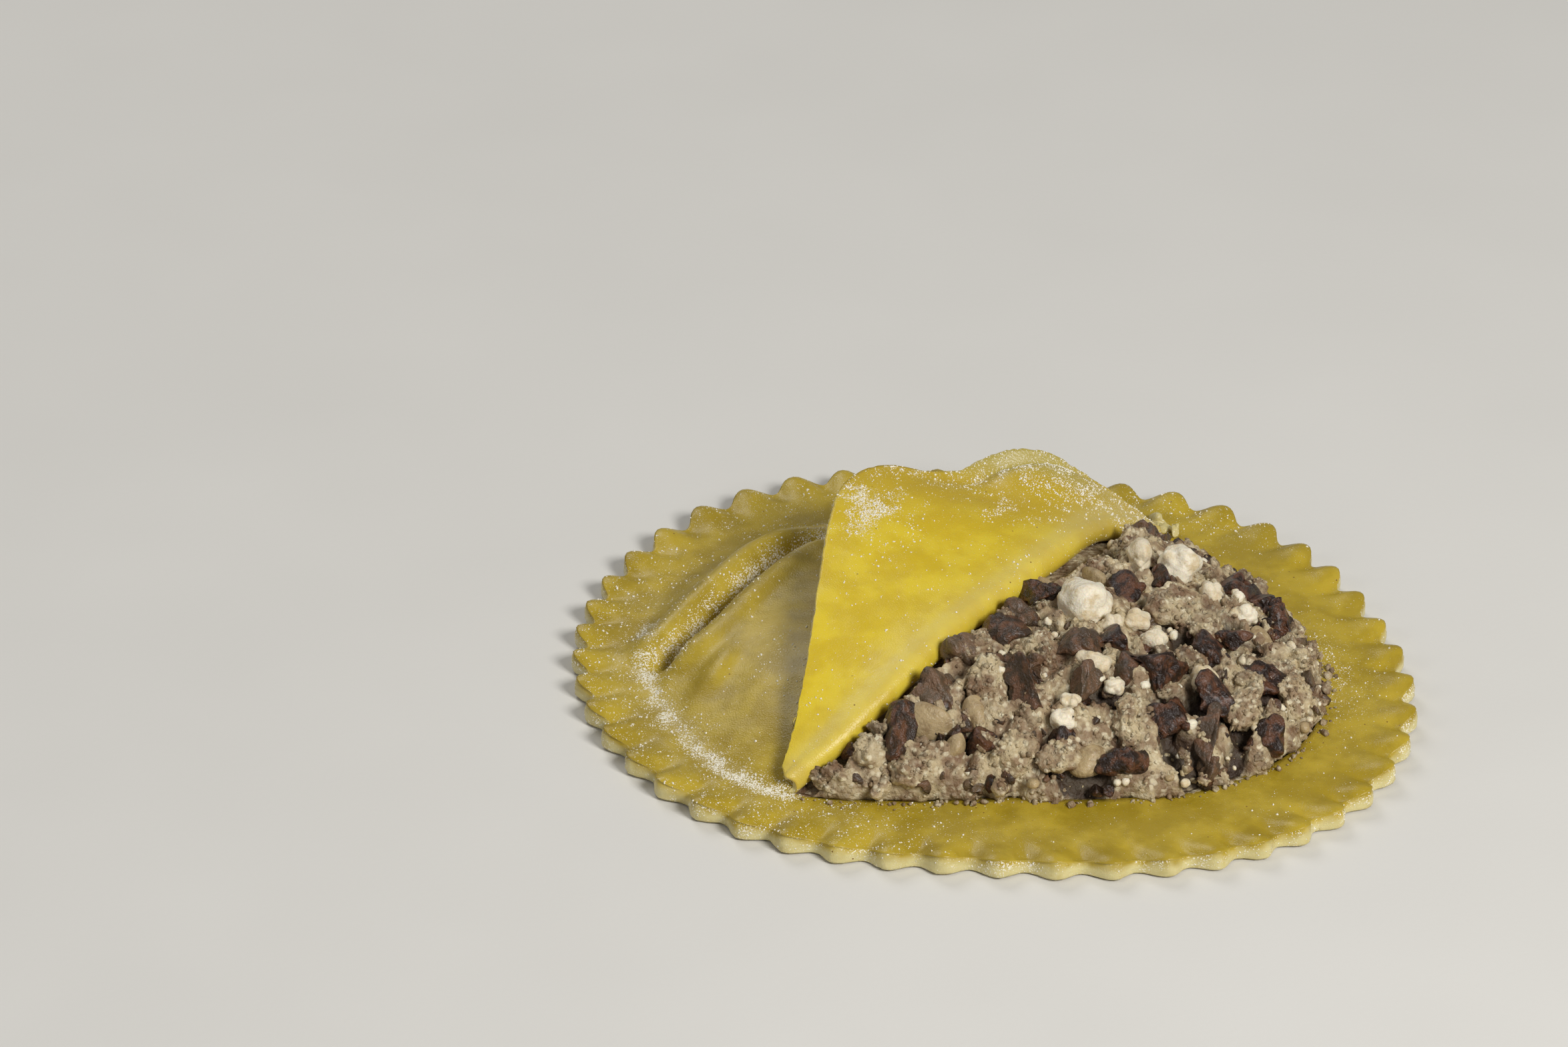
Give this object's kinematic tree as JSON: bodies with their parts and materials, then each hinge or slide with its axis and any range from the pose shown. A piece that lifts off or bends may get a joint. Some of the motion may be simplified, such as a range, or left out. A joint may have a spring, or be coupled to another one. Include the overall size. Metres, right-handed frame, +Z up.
{
  "type": "ravioli",
  "caption": "Large oval raviolo with a fluted rim, its upper sheet cut and folded back over the dome to show a chopped mushroom and cheese filling.",
  "frame": {"origin": "on the surface the raviolo lies on, under the middle of its bounding box", "axes": "+X along the long side of the oval, +Y towards the back end of the fold, +Z up out of the dome"},
  "size_m": [0.0786, 0.069, 0.0133],
  "materials": {
    "pasta": "fresh egg pasta dough, dusty outside and moist inside",
    "filling": "chopped mushroom and crumbled cheese, moist"
  },
  "bodies": {
    "root": {"lower_sheet": "pasta", "upper_sheet": "pasta", "filling": "filling"}
  },
  "joints": []
}
